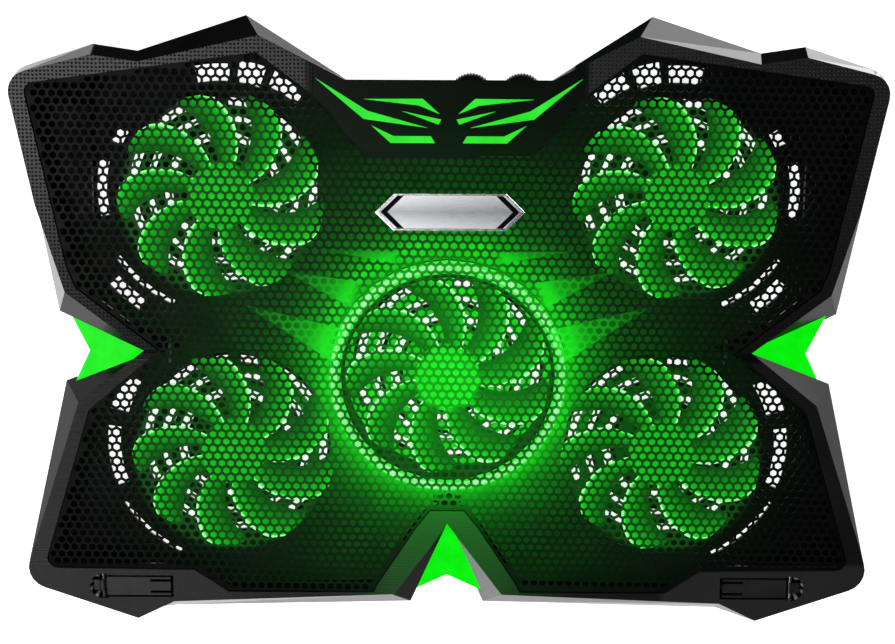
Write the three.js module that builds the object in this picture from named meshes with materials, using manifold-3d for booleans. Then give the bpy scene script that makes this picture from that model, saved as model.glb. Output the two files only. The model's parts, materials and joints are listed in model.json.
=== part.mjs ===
// Laptop cooling pad: a butterfly-shaped frame shell with a metal mesh, over a vented tub with five fans.
// Millimetres, +Z up, +Y to the rear, +X to the right.
// The origin is the middle of the footprint, on the table.
import * as THREE from 'three';
import { mergeVertices } from 'three/addons/utils/BufferGeometryUtils.js';
import Module from 'manifold-3d';

const wasm = await Module();
wasm.setup();

// ---- Driving dimensions ----
const GAP = 0.3; // between touching pieces
const TOP = 28; // face that carries the laptop
const SEAM = 16; // where the two shells meet, at the widest outline
const TUB_BOTTOM = 2.2;
const TUB_FLOOR = 4.2; // upper side of the tub's floor
const TUB_TAPER = 5; // how far the tub draws in from the seam to its bottom
const WALL = 2.2;
const PLATE_UNDER = 24; // underside of the frame's top plate
const ARC_STEP = 12; // degrees per facet of a curved slot
const CUT = 1; // how far a cutting shape runs past the face it cuts

// Half outlines from the middle of the rear edge to the middle of the front edge: [x, y, corner radius].
const FACE_HALF = [
  [46, 114], [84, 133.5], [137.5, 121.5], [158, 124.6], [196.5, 115, 9.5], [185, 57], [173, 16.5],
  [138, -10.7], [168.5, -35.5], [197, -122, 10.5], [144, -140.6], [127, -132.2], [25.5, -128.2], [0, -93.2],
];
const SEAM_HALF = [
  [45, 111.5], [90, 140.6], [138.5, 124.5], [158.2, 127.5], [196.5, 115, 9.5], [186.5, 57], [177.4, 4.7],
  [139, -14], [175.4, -28.4], [197, -122, 10.5], [144, -140.6], [126.6, -138.5], [17, -136], [0, -97.2],
];
const MESH_HALF = [
  [37.2, 81.6], [46, 89.5], [53.5, 101], [65, 110.8], [85, 126], [188.8, 111.6, 4.5], [172, 28],
  [168.3, 18.5], [131.5, -10.8], [164, -39], [187.2, -115.8, 5], [117.2, -116.7], [101.8, -127.3],
  [34, -127.3], [32, -123.3], [14.2, -95.6], [7.8, -87.3],
];

const MESH = { low: 25.8, high: 26.6, ledge: 2 };
const NAMEPLATE = { x: 0.7, y: 54.2, halfLength: 33.7, point: 8.7, halfHeight: 8.6, low: 26.9, high: 27.7 };

const FANS = [
  { name: 'rear_left', x: -102.7, y: 59 },
  { name: 'rear_right', x: 102.7, y: 59 },
  { name: 'front_left', x: -99, y: -62 },
  { name: 'front_right', x: 99, y: -62 },
  { name: 'centre', x: 0, y: -25 },
];
const HUB = { radius: 14.7, wall: 1.6, low: 9.6, high: 21, roof: 1.8 };
// Angles in degrees: the first blade's leading edge at its root, the edge's sweep, and the widths.
const BLADE = { count: 9, tip: 47, start: 24.8, sweep: 29.4, bend: 1.55, rootWidth: 30, tipWidth: 22 };
const BLADE_EDGE = { lead: 19.6, trail: 12.4, thick: 1.4 }; // heights of the two long edges
const SHAFT = { radius: 1.4, bore: 1.7, low: 7.6 };
const MOTOR = { flange: 14.2, core: 11.8, low: 4.5, step: 6.4, high: 18 };
// The slotted guard under each fan: rings of openings from one radius to another, crossed by spokes.
const INTAKE = { rings: [[21, 27], [30.5, 35], [39.5, 44.5]], spokes: 3, spokeWidth: 6, sides: 24 };

// Slots through the tub's floor round the left-hand fans: radii, then angles in degrees.
// They are mirrored to the right.
const REAR_VENTS = [
  [50, 58, 86, 102], [50, 60, 70, 82], [52, 64, 50, 66], [53, 57.5, 166, 193], [50, 55, 148, 156],
  [57, 59.5, 213, 246], [63.5, 69.5, 220, 235],
];
const FRONT_VENTS = [[52, 60.5, 146, 164], [54, 60, 172, 201], [59, 61, 208, 244]];

const SHROUD = { inner: 47.8, outer: 49, low: 4.5, high: 22 };
const SHROUD_FLANGE = { radius: 55, low: 12.5, high: 14.2 };
const LIGHT_RING = { inner: 49.4, outer: 54.6, low: 17.2, high: 21 };
const LED_RING = { low: 14.6, high: 16.8 };

const ARROW = { reach: 34.5, half: 14.65, notch: 24.7, grip: 3.4, low: 14.4, high: 17.6 };
const ARROWS = [
  { name: 'left', x: -139.2, y: -13.6, turn: 180 },
  { name: 'right', x: 139.2, y: -13.6, turn: 0 },
  { name: 'front', x: 0, y: -97.4, turn: -90 },
];
const ARROW_LED = { back: 12, thick: 1.2, half: 6.5, low: 12, high: 19 };

const STOP = { x: 160, y: -124.7, z: 25.2, tip: 128, shoulder: 158.6, half: 4.95, low: 24.2, high: 27.8 };
const STOP_KNUCKLE = { radius: 2.4, half: 2.5, bore: 1.2, tab: 164.4, tabLow: 24.2, tabHigh: 26.6 };
const STOP_SLIT = { end: 138, centre: 2.8, half: 0.6 };
const STOP_POCKET = { low: 20, wall: 1.5, half: 5.4, start: 127.2, scoop: 6.2 };
const STOP_PIN = { radius: 0.9, half: 7.4 };

const LEG = { x: 169.5, half: 6, hinge: 94, z: 5.6, end: 47.6, halfThick: 2.6, knuckle: 2.8, bore: 1.5 };
const LEG_PAD = { thick: 2.2, halfHeight: 2.1 };
const LEG_RECESS = { half: 6.5, rear: 99, front: 44.2, roof: 9.3, wall: 1.5 };
const LEG_PIN = { radius: 1.2, half: 7.6 };

const WHEEL = { radius: 10, y: 105.6, low: 17, high: 20.6, bore: 1.6 };
const WHEELS = [{ name: 'speed', x: 9.8 }, { name: 'light', x: 32.3 }];
const DIAL = { half: 5.5, front: 100.5, rear: 107, low: 10.1, high: 16.5, shaft: 1.3, shaftTop: 20.4 };
const BOARD = { half: 44, front: 84, rear: 106, low: 8.2, high: 9.8 };
const USB = { half: 6.6, front: 98, rear: 110.6, low: 10.1, high: 15.5, wall: 0.5 };
const USB_TONGUE = { half: 5, thick: 1.6 };
const USB_PORTS = [{ name: 'outer', x: -34 }, { name: 'inner', x: -14 }];

const SCREW_SPOTS = [[52, 104], [168, 106], [174, -118]];
const BOSS = { radius: 4.6, seat: 5, top: 7, head: 3, hole: 1.7 };
const POST = { radius: 3.2, bore: 1.6, boreTop: 14 };
const SCREW = { head: 2.6, headLow: 3, headHigh: 4.7, shank: 1.25, tip: 12.5 };
const EAR = { x0: 160, x1: 176, y0: 101, y1: 116, low: 22 };
const FOOT = { radius: 6, bottomRadius: 5.2, high: 1.9 };
const FOOT_SPOTS = [[142, 110], [150, -117]];

// ---- Outlines ----
const unit = (from, to) => new THREE.Vector2(to[0] - from[0], to[1] - from[1]).normalize();

function mirrorLoop(half) {
  const left = half.filter(([x]) => x > 0).map(([x, y, radius]) => [-x, y, radius]);
  return [...left, ...half.toReversed()];
}

// Moves every edge of an anticlockwise loop inwards.
function inset(loop, distance) {
  return loop.map(([x, y, radius], i) => {
    const before = unit(loop.at(i - 1), loop[i]);
    const after = unit(loop[i], loop[(i + 1) % loop.length]);
    const k = distance / (1 + before.dot(after));
    const rounding = radius && Math.max(radius - distance, 1);
    return [x - (before.y + after.y) * k, y + (before.x + after.x) * k, rounding];
  });
}

// Replaces each corner that has a radius by an arc of a fixed number of points.
function roundLoop(loop, steps = 5) {
  return loop.flatMap(([x, y, radius], i) => {
    if (!radius) return [new THREE.Vector2(x, y)];
    const back = unit(loop[i], loop.at(i - 1));
    const ahead = unit(loop[i], loop[(i + 1) % loop.length]);
    const halfAngle = Math.acos(back.dot(ahead)) / 2;
    const centre = back.clone().add(ahead).normalize().multiplyScalar(radius / Math.sin(halfAngle));
    const start = back.multiplyScalar(radius / Math.tan(halfAngle)).sub(centre);
    const end = ahead.multiplyScalar(radius / Math.tan(halfAngle)).sub(centre);
    const sweep = Math.PI - 2 * halfAngle;
    const direction = Math.sign(start.cross(end));
    return Array.from({ length: steps + 1 }, (_, step) => start.clone()
      .rotateAround(new THREE.Vector2(), (direction * sweep * step) / steps)
      .add(centre).add(new THREE.Vector2(x, y)));
  });
}

const FACE = mirrorLoop(FACE_HALF);
const RIM = mirrorLoop(SEAM_HALF);
const BASE = inset(RIM, TUB_TAPER);
const MESH_EDGE = mirrorLoop(MESH_HALF);

const mix = (from, to, t) => from.map((point, i) => point.map((value, axis) => {
  if (value === undefined) return undefined;
  return value + (to[i][axis] - value) * t;
}));

// The outer outline at one height, drawn in by a distance, as points in space.
function section(z, distance = 0) {
  const loop = z >= SEAM
    ? mix(RIM, FACE, (z - SEAM) / (TOP - SEAM))
    : mix(BASE, RIM, (z - TUB_BOTTOM) / (SEAM - TUB_BOTTOM));
  return roundLoop(inset(loop, distance)).map(({ x, y }) => new THREE.Vector3(x, y, z));
}

// ---- Solids ----
// A closed skin through rings of equal point count, each anticlockwise seen from the next one.
function loft(rings) {
  const count = rings[0].length;
  const at = (ring, i) => ring * count + (i % count);
  const index = [];
  for (let ring = 0; ring < rings.length - 1; ring += 1) {
    for (let i = 0; i < count; i += 1) {
      index.push(at(ring, i), at(ring, i + 1), at(ring + 1, i + 1));
      index.push(at(ring, i), at(ring + 1, i + 1), at(ring + 1, i));
    }
  }
  const quad = [[0, 1, 2], [0, 2, 3]];
  const cap = (ring) => (count === 4 ? quad : THREE.ShapeUtils.triangulateShape(ring, []));
  for (const [a, b, c] of cap(rings[0])) index.push(c, b, a);
  const last = rings.length - 1;
  for (const [a, b, c] of cap(rings[last])) index.push(at(last, a), at(last, b), at(last, c));
  return new THREE.BufferGeometry().setFromPoints(rings.flat()).setIndex(index);
}

function solid(geometry) {
  const bare = geometry.clone();
  bare.deleteAttribute('normal');
  bare.deleteAttribute('uv');
  const merged = mergeVertices(bare);
  const corners = [];
  for (let i = 0; i < merged.index.count; i += 3) {
    const [a, b, c] = [0, 1, 2].map((k) => merged.index.getX(i + k));
    if (a !== b && b !== c && c !== a) corners.push(a, b, c);
  }
  return new wasm.Manifold(new wasm.Mesh({
    numProp: 3,
    vertProperties: Float32Array.from(merged.attributes.position.array),
    triVerts: Uint32Array.from(corners),
  }));
}

function geometryOf(manifold) {
  const { vertProperties, triVerts } = manifold.getMesh();
  const geometry = new THREE.BufferGeometry();
  geometry.setAttribute('position', new THREE.BufferAttribute(vertProperties, 3));
  geometry.setIndex(new THREE.BufferAttribute(triVerts, 1));
  geometry.computeVertexNormals();
  return geometry;
}

function box([x0, x1], [y0, y1], [z0, z1]) {
  const geometry = new THREE.BoxGeometry(x1 - x0, y1 - y0, z1 - z0);
  return solid(geometry.translate((x0 + x1) / 2, (y0 + y1) / 2, (z0 + z1) / 2));
}

function rod(radius, [low, high], [x, y], sides = 16, topRadius = radius) {
  const geometry = new THREE.CylinderGeometry(topRadius, radius, high - low, sides).rotateX(Math.PI / 2);
  return solid(geometry.translate(x, y, (low + high) / 2));
}

const crossRod = (radius, half, [x, y, z], sides = 16) => solid(
  new THREE.CylinderGeometry(radius, radius, 2 * half, sides).translate(x, y, z),
);

const sideRod = (radius, half, [x, y, z], sides = 16) => solid(
  new THREE.CylinderGeometry(radius, radius, 2 * half, sides).rotateZ(Math.PI / 2).translate(x, y, z),
);

function extrude(shape, [low, high], curveSegments = 1) {
  const options = { depth: high - low, bevelEnabled: false, curveSegments };
  return solid(new THREE.ExtrudeGeometry(shape, options).translate(0, 0, low));
}

const prism = (points, heights) => extrude(new THREE.Shape(points), heights);

// A turned solid from an anticlockwise profile of [radius, height] points.
function turned(profile, [x, y], sides = 24) {
  const points = profile.map(([radius, height]) => new THREE.Vector2(radius, height));
  return solid(new THREE.LatheGeometry(points, sides).rotateX(Math.PI / 2).translate(x, y, 0));
}

const RING_SIDES = 28;

const ringProfile = (inner, outer, low, high) => [
  [inner, low], [outer, low], [outer, high], [inner, high], [inner, low],
];

const bothSides = (spots) => spots.flatMap(([x, y]) => [[-x, y], [x, y]]);
const loopPoints = (loop) => loop.map(([x, y]) => new THREE.Vector2(x, y));

// ---- Shells ----
function arrowLoop({ x, y, turn }, grip) {
  const slope = Math.atan2(ARROW.half, ARROW.reach);
  const end = [ARROW.reach - grip * Math.sin(slope), ARROW.half + grip * Math.cos(slope)];
  const corners = [[-grip / Math.sin(slope), 0], [end[0], -end[1]], [ARROW.notch, 0], end];
  return corners.map(([u, v]) => {
    const point = new THREE.Vector2(u, v).rotateAround(new THREE.Vector2(), THREE.MathUtils.degToRad(turn));
    return [point.x + x, point.y + y];
  });
}

const arrowSeats = () => ARROWS.map((arrow) => prism(
  loopPoints(inset(arrowLoop(arrow, ARROW.grip), -GAP)),
  [ARROW.low - GAP, ARROW.high + GAP],
));

function stopPocket(side) {
  const { low, half, start, scoop } = STOP_POCKET;
  const reach = [side * start, side * STOP.x].sort((a, b) => a - b);
  const bay = box(reach, [STOP.y - half, STOP.y + half], [low, TOP + CUT]);
  const pinHole = crossRod(STOP_KNUCKLE.bore, STOP_PIN.half + GAP, [side * STOP.x, STOP.y, STOP.z]);
  return bay.add(rod(scoop, [low, TOP + CUT], [side * STOP.x, STOP.y], 24)).add(pinHole);
}

function stopTray(side) {
  const { low, wall, half, start, scoop } = STOP_POCKET;
  const reach = [side * (start - wall), side * (STOP.x + scoop + wall)].sort((a, b) => a - b);
  const width = Math.max(half, scoop) + wall;
  return box(reach, [STOP.y - width, STOP.y + width], [low - wall, PLATE_UNDER + CUT]);
}

function topShell() {
  let shell = solid(loft([section(SEAM), section(TOP)]));
  shell = shell.subtract(solid(loft([section(SEAM - CUT, WALL), section(PLATE_UNDER, WALL)])));
  const { x0, x1, y0, y1, low } = EAR;
  shell = shell.add(box([x0, x1], [y0, y1], [low, PLATE_UNDER + CUT]));
  shell = shell.add(box([-x1, -x0], [y0, y1], [low, PLATE_UNDER + CUT]));
  for (const spot of bothSides(SCREW_SPOTS)) {
    shell = shell.add(rod(POST.radius, [BOSS.top + GAP, PLATE_UNDER + CUT], spot));
    shell = shell.subtract(rod(POST.bore, [BOSS.top, POST.boreTop], spot, 12));
  }
  const meshSeat = prism(roundLoop(MESH_EDGE), [MESH.low - GAP, TOP + CUT]);
  const window = prism(roundLoop(inset(MESH_EDGE, MESH.ledge)), [PLATE_UNDER, TOP]);
  shell = shell.subtract(meshSeat).subtract(window);
  for (const side of [-1, 1]) shell = shell.add(stopTray(side)).subtract(stopPocket(side));
  for (const { x } of WHEELS) {
    const half = WHEEL.radius - 2 * GAP;
    const heights = [SEAM - CUT, WHEEL.high + 2 * GAP];
    shell = shell.subtract(box([x - half, x + half], [WHEEL.y, WHEEL.y + WHEEL.radius], heights));
  }
  for (const seat of arrowSeats()) shell = shell.subtract(seat);
  return shell;
}

function sector([inner, outer, from, to], [x, y], heights) {
  const shape = new THREE.Shape();
  const [start, end] = [from, to].map(THREE.MathUtils.degToRad);
  shape.absarc(x, y, outer, start, end, false);
  shape.absarc(x, y, inner, end, start, true);
  return extrude(shape, heights, Math.max(2, Math.ceil((to - from) / ARC_STEP)));
}

function intakes({ x, y }) {
  const { rings, spokes, spokeWidth, sides } = INTAKE;
  const through = [TUB_BOTTOM - CUT, TUB_FLOOR + CUT];
  const reach = rings.at(-1)[1] + CUT;
  const bars = Array.from({ length: spokes }, (_, spoke) => {
    const bar = new THREE.BoxGeometry(reach, spokeWidth, TUB_FLOOR + 2 * CUT);
    bar.translate(reach / 2, 0, TUB_FLOOR / 2).rotateZ(Math.PI / 2 + (2 * Math.PI * spoke) / spokes);
    return solid(bar.translate(x, y, 0));
  });
  return rings.map(([inner, outer]) => bars.reduce(
    (holes, bar) => holes.subtract(bar),
    turned(ringProfile(inner, outer, ...through), [x, y], sides),
  ));
}

function vents() {
  const through = [TUB_BOTTOM - CUT, TUB_FLOOR + CUT];
  const [rear, , front] = FANS;
  const pair = ([inner, outer, from, to], fan) => [
    sector([inner, outer, from, to], [fan.x, fan.y], through),
    sector([inner, outer, 180 - to, 180 - from], [-fan.x, fan.y], through),
  ];
  const atRear = REAR_VENTS.flatMap((slot) => pair(slot, rear));
  return [...atRear, ...FRONT_VENTS.flatMap((slot) => pair(slot, front))];
}

function legRecess(side, grow, low, high) {
  const { half, rear, front } = LEG_RECESS;
  const centre = side * LEG.x;
  return box([centre - half - grow, centre + half + grow], [front - grow, rear + grow], [low, high]);
}

function bottomCover() {
  let tub = solid(loft([section(TUB_BOTTOM), section(SEAM - GAP)]));
  tub = tub.subtract(solid(loft([section(TUB_FLOOR, WALL), section(SEAM + CUT, WALL)])));
  for (const hole of [...FANS.flatMap(intakes), ...vents()]) tub = tub.subtract(hole);
  for (const spot of bothSides(SCREW_SPOTS)) {
    tub = tub.add(rod(BOSS.radius, [TUB_BOTTOM, BOSS.top], spot));
    tub = tub.subtract(rod(BOSS.head, [TUB_BOTTOM - CUT, BOSS.seat], spot));
    tub = tub.subtract(rod(BOSS.hole, [TUB_BOTTOM - CUT, BOSS.top + CUT], spot, 12));
  }
  for (const side of [-1, 1]) {
    const { roof, wall } = LEG_RECESS;
    tub = tub.add(legRecess(side, wall, TUB_BOTTOM, roof + wall));
    tub = tub.subtract(legRecess(side, 0, 0, roof));
    tub = tub.subtract(sideRod(LEG.bore, LEG_PIN.half + GAP, [side * LEG.x, LEG.hinge, LEG.z], 12));
  }
  for (const { x } of USB_PORTS) {
    const half = USB.half + GAP;
    const heights = [USB.low - GAP, SEAM + CUT];
    tub = tub.subtract(box([x - half, x + half], [USB.front, USB.rear + WALL], heights));
  }
  for (const seat of arrowSeats()) tub = tub.subtract(seat);
  return tub;
}

// ---- Fans ----
function bladeRing(angle, t) {
  const radius = THREE.MathUtils.lerp(HUB.radius - HUB.wall / 2, BLADE.tip, t);
  const lead = angle + BLADE.sweep * t ** BLADE.bend;
  const trail = lead + THREE.MathUtils.lerp(BLADE.rootWidth, BLADE.tipWidth, t);
  const { lead: high, trail: low, thick } = BLADE_EDGE;
  const corners = [[lead, high - thick], [trail, low - thick], [trail, low], [lead, high]];
  return corners.map(([degrees, z]) => {
    const turn = THREE.MathUtils.degToRad(degrees);
    return new THREE.Vector3(radius * Math.cos(turn), radius * Math.sin(turn), z);
  });
}

function rotor({ x, y }) {
  const { radius, wall, low, high, roof } = HUB;
  const cup = [[0, SHAFT.low], [SHAFT.radius, SHAFT.low], [SHAFT.radius, high - roof],
    [radius - wall, high - roof], [radius - wall, low], [radius, low], [radius, high - wall],
    [radius - wall, high], [0, high]];
  let body = turned(cup, [0, 0], 18);
  for (let blade = 0; blade < BLADE.count; blade += 1) {
    const angle = BLADE.start + (360 / BLADE.count) * blade;
    body = body.add(solid(loft([0, 0.25, 0.5, 0.75, 1].map((t) => bladeRing(angle, t)))));
  }
  return geometryOf(body).translate(x, y, 0);
}

function motorBase({ x, y }) {
  const { flange, core, low, step, high } = MOTOR;
  const boreBottom = SHAFT.low - 2 * GAP;
  const profile = [[0, low], [flange, low], [flange, step], [core, step], [core, high], [SHAFT.bore, high],
    [SHAFT.bore, boreBottom], [0, boreBottom]];
  return turned(profile, [x, y], 16);
}

// ---- Lights ----
function centreShroud([x, y]) {
  const { inner, outer, low, high } = SHROUD;
  const flange = SHROUD_FLANGE;
  const profile = [[inner, low], [outer, low], [outer, flange.low], [flange.radius, flange.low],
    [flange.radius, flange.high], [outer, flange.high], [outer, high], [inner, high], [inner, low]];
  return turned(profile, [x, y], RING_SIDES);
}

function arrowLed({ x, y, turn }) {
  const { back, thick, half, low, high } = ARROW_LED;
  const geometry = new THREE.BoxGeometry(thick, 2 * half, high - low).translate(-back, 0, (low + high) / 2);
  return geometry.rotateZ(THREE.MathUtils.degToRad(turn)).translate(x, y, 0);
}

// ---- Things that move by hand ----
// A flip-up stop; side is 1 on the right and -1 on the left.
function stopArm(side) {
  const { x, y, z, tip, shoulder, half, low, high } = STOP;
  const ordered = (a, b) => [side * a, side * b].sort((p, q) => p - q);
  let arm = box(ordered(tip, shoulder), [y - half, y + half], [low, high]);
  for (const way of [-1, 1]) {
    const middle = y + way * STOP_SLIT.centre;
    const slit = [middle - STOP_SLIT.half, middle + STOP_SLIT.half];
    arm = arm.subtract(box(ordered(tip - CUT, STOP_SLIT.end), slit, [low - CUT, high + CUT]));
  }
  const { radius, half: neck, bore, tab, tabLow, tabHigh } = STOP_KNUCKLE;
  arm = arm.add(box(ordered(shoulder - CUT, tab), [y - neck, y + neck], [tabLow, tabHigh]));
  arm = arm.add(crossRod(radius, neck, [side * x, y, z]));
  return arm.subtract(crossRod(bore, neck + CUT, [side * x, y, z]));
}

function rearLeg(side) {
  const { x, half, hinge, z, end, halfThick, knuckle, bore } = LEG;
  const width = [side * x - half, side * x + half];
  let leg = box(width, [end, hinge], [z - halfThick, z + halfThick]);
  leg = leg.add(sideRod(knuckle, half, [side * x, hinge, z]));
  return leg.subtract(sideRod(bore, half + CUT, [side * x, hinge, z], 12));
}

function legPad(side) {
  const { x, half, end, z } = LEG;
  const { thick, halfHeight } = LEG_PAD;
  const width = [side * x - half + GAP, side * x + half - GAP];
  return box(width, [end - GAP - thick, end - GAP], [z - halfHeight, z + halfHeight]);
}

function thumbWheel({ x }) {
  const wheel = rod(WHEEL.radius, [WHEEL.low, WHEEL.high], [x, WHEEL.y], 32);
  return wheel.subtract(rod(WHEEL.bore, [WHEEL.low - CUT, WHEEL.high + CUT], [x, WHEEL.y], 12));
}

function dialSwitch({ x }) {
  const { half, front, rear, low, high, shaft, shaftTop } = DIAL;
  const base = box([x - half, x + half], [front, rear], [low, high]);
  return base.add(rod(shaft, [high - CUT, shaftTop], [x, WHEEL.y], 12));
}

// ---- Electrical parts ----
function usbPort({ x }) {
  const { half, front, rear, low, high, wall } = USB;
  const back = front + 2 * wall;
  const can = box([x - half, x + half], [front, rear], [low, high]);
  const mouth = box([x - half + wall, x + half - wall], [back, rear + CUT], [low + wall, high - wall]);
  const tongueTop = high - 2 * wall;
  const width = [x - USB_TONGUE.half, x + USB_TONGUE.half];
  const tongue = box(width, [back - wall, rear - CUT], [tongueTop - USB_TONGUE.thick, tongueTop]);
  return can.subtract(mouth).add(tongue);
}

function coverScrew([x, y]) {
  const { head, headLow, headHigh, shank, tip } = SCREW;
  const profile = [[0, headLow], [head, headLow], [head, headHigh], [shank, headHigh], [shank, tip],
    [0, tip]];
  return turned(profile, [x, y], 12);
}

function nameplate() {
  const { x, y, halfLength, point, halfHeight, low, high } = NAMEPLATE;
  const flat = halfLength - point;
  const corners = [[-flat, -halfHeight], [flat, -halfHeight], [halfLength, 0], [flat, halfHeight],
    [-flat, halfHeight], [-halfLength, 0]];
  return prism(corners.map(([dx, dy]) => new THREE.Vector2(x + dx, y + dy)), [low, high]);
}

// ---- Assembly ----
const BLACK_PLASTIC = { color: 0x141414, roughness: 0.45, metalness: 0 };
const BLACK_METAL = { color: 0x0c0c0c, roughness: 0.4, metalness: 0.7 };
const SILVER = { color: 0xb9bdc0, roughness: 0.3, metalness: 1 };
const STEEL = { color: 0x8f9295, roughness: 0.35, metalness: 1 };
const GREEN_LENS = { color: 0x1cff1c, roughness: 0.3, metalness: 0 };
const GREEN_ROTOR = { color: 0x1f9a2a, roughness: 0.35, metalness: 0 };
const RUBBER = { color: 0x0a0a0a, roughness: 0.9, metalness: 0 };
const GREEN_BOARD = { color: 0x0b4a22, roughness: 0.6, metalness: 0 };

const group = new THREE.Group();

function place(name, shape, look) {
  const geometry = shape.isBufferGeometry ? shape : geometryOf(shape);
  const mesh = new THREE.Mesh(geometry, new THREE.MeshStandardMaterial(look));
  mesh.name = name;
  group.add(mesh);
}

place('top_shell', topShell(), BLACK_PLASTIC);
place('bottom_cover', bottomCover(), BLACK_PLASTIC);
place('mesh_panel', prism(roundLoop(inset(MESH_EDGE, GAP)), [MESH.low, MESH.high]), BLACK_METAL);
place('nameplate', nameplate(), SILVER);

for (const fan of FANS) {
  place(`rotor_${fan.name}`, rotor(fan), GREEN_ROTOR);
  place(`motor_base_${fan.name}`, motorBase(fan), BLACK_PLASTIC);
}

const centre = [FANS.at(-1).x, FANS.at(-1).y];
const { inner: lightInner, outer: lightOuter, low: lightLow, high: lightHigh } = LIGHT_RING;
place('centre_shroud', centreShroud(centre), BLACK_PLASTIC);
const lightProfile = ringProfile(lightInner, lightOuter, lightLow, lightHigh);
const ledProfile = ringProfile(lightInner, lightOuter, LED_RING.low, LED_RING.high);
place('centre_light_ring', turned(lightProfile, centre, RING_SIDES), GREEN_LENS);
place('centre_led_ring', turned(ledProfile, centre, RING_SIDES), GREEN_BOARD);

for (const arrow of ARROWS) {
  const lens = prism(loopPoints(arrowLoop(arrow, ARROW.grip)), [ARROW.low, ARROW.high]);
  place(`arrow_light_${arrow.name}`, lens, GREEN_LENS);
  place(`arrow_led_${arrow.name}`, arrowLed(arrow), GREEN_BOARD);
}

for (const [sideName, side] of [['left', -1], ['right', 1]]) {
  const stopHinge = [side * STOP.x, STOP.y, STOP.z];
  const legHinge = [side * LEG.x, LEG.hinge, LEG.z];
  place(`stop_${sideName}`, stopArm(side), BLACK_PLASTIC);
  place(`stop_pin_${sideName}`, crossRod(STOP_PIN.radius, STOP_PIN.half, stopHinge, 12), STEEL);
  place(`rear_leg_${sideName}`, rearLeg(side), BLACK_PLASTIC);
  place(`leg_pin_${sideName}`, sideRod(LEG_PIN.radius, LEG_PIN.half, legHinge, 12), STEEL);
  place(`leg_pad_${sideName}`, legPad(side), RUBBER);
}

for (const wheel of WHEELS) {
  place(`${wheel.name}_wheel`, thumbWheel(wheel), BLACK_PLASTIC);
  place(`${wheel.name}_dial_switch`, dialSwitch(wheel), BLACK_METAL);
}

const board = box([-BOARD.half, BOARD.half], [BOARD.front, BOARD.rear], [BOARD.low, BOARD.high]);
place('control_board', board, GREEN_BOARD);
for (const port of USB_PORTS) place(`usb_port_${port.name}`, usbPort(port), STEEL);

bothSides(SCREW_SPOTS).forEach((spot, i) => place(`cover_screw_${i + 1}`, coverScrew(spot), STEEL));
bothSides(FOOT_SPOTS).forEach((spot, i) => {
  place(`foot_${i + 1}`, rod(FOOT.bottomRadius, [0, FOOT.high], spot, 20, FOOT.radius), RUBBER);
});

export default group;
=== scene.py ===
import json
import math

import bmesh
import bpy
import numpy as np
from mathutils import Matrix, Vector
from mathutils.geometry import delaunay_2d_cdt


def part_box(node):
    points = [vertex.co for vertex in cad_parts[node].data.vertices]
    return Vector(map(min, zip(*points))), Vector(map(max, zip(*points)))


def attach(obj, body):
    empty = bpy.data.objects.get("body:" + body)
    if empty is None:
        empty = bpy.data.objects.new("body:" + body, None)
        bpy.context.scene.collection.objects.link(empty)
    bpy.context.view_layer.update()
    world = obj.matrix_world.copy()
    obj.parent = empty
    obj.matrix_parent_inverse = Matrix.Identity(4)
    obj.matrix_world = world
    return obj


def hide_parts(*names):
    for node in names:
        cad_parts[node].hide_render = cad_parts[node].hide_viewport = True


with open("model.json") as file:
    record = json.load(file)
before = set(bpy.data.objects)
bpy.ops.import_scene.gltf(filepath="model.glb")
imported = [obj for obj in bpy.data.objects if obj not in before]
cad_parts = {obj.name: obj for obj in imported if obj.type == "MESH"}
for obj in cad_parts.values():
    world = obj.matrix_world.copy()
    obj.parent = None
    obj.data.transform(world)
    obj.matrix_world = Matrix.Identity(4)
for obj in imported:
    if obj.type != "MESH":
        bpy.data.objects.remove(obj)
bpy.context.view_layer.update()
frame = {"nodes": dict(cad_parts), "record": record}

MM = 0.001
NODES = frame["nodes"]
SLOT_OF = {row["node"]: row["material_slot"] for row in frame["record"]["subparts"]}
FANS = ["rear_left", "rear_right", "front_left", "front_right", "centre"]
SIDES = (("left", -1), ("right", 1))

# ---------------------------------------------------------------- camera, light and stage
TILT = math.radians(15.14)
DISTANCE = 1.1315
LENS = 100.6
ROLL = math.radians(0.27)
TARGET = Vector((-0.0002, 0.00345, 0.028))


def add_camera():
    data = bpy.data.cameras.new("camera")
    data.lens = LENS
    data.sensor_width = 36
    camera = bpy.data.objects.new("camera", data)
    bpy.context.scene.collection.objects.link(camera)
    offset = Vector((0, math.sin(TILT), math.cos(TILT))) * DISTANCE
    # The camera leans towards the rear, so it looks down and forwards with the rear edge at the top.
    turn = Matrix.Rotation(-TILT, 4, "X") @ Matrix.Rotation(ROLL, 4, "Z")
    camera.matrix_world = Matrix.Translation(TARGET + offset) @ turn
    bpy.context.scene.camera = camera


def add_light(name, place, aim, size, power):
    data = bpy.data.lights.new(name, "AREA")
    data.size = size
    data.energy = power
    light = bpy.data.objects.new(name, data)
    light.location = place
    light.rotation_euler = (Vector(aim) - Vector(place)).to_track_quat("-Z", "Y").to_euler()
    bpy.context.scene.collection.objects.link(light)


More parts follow.
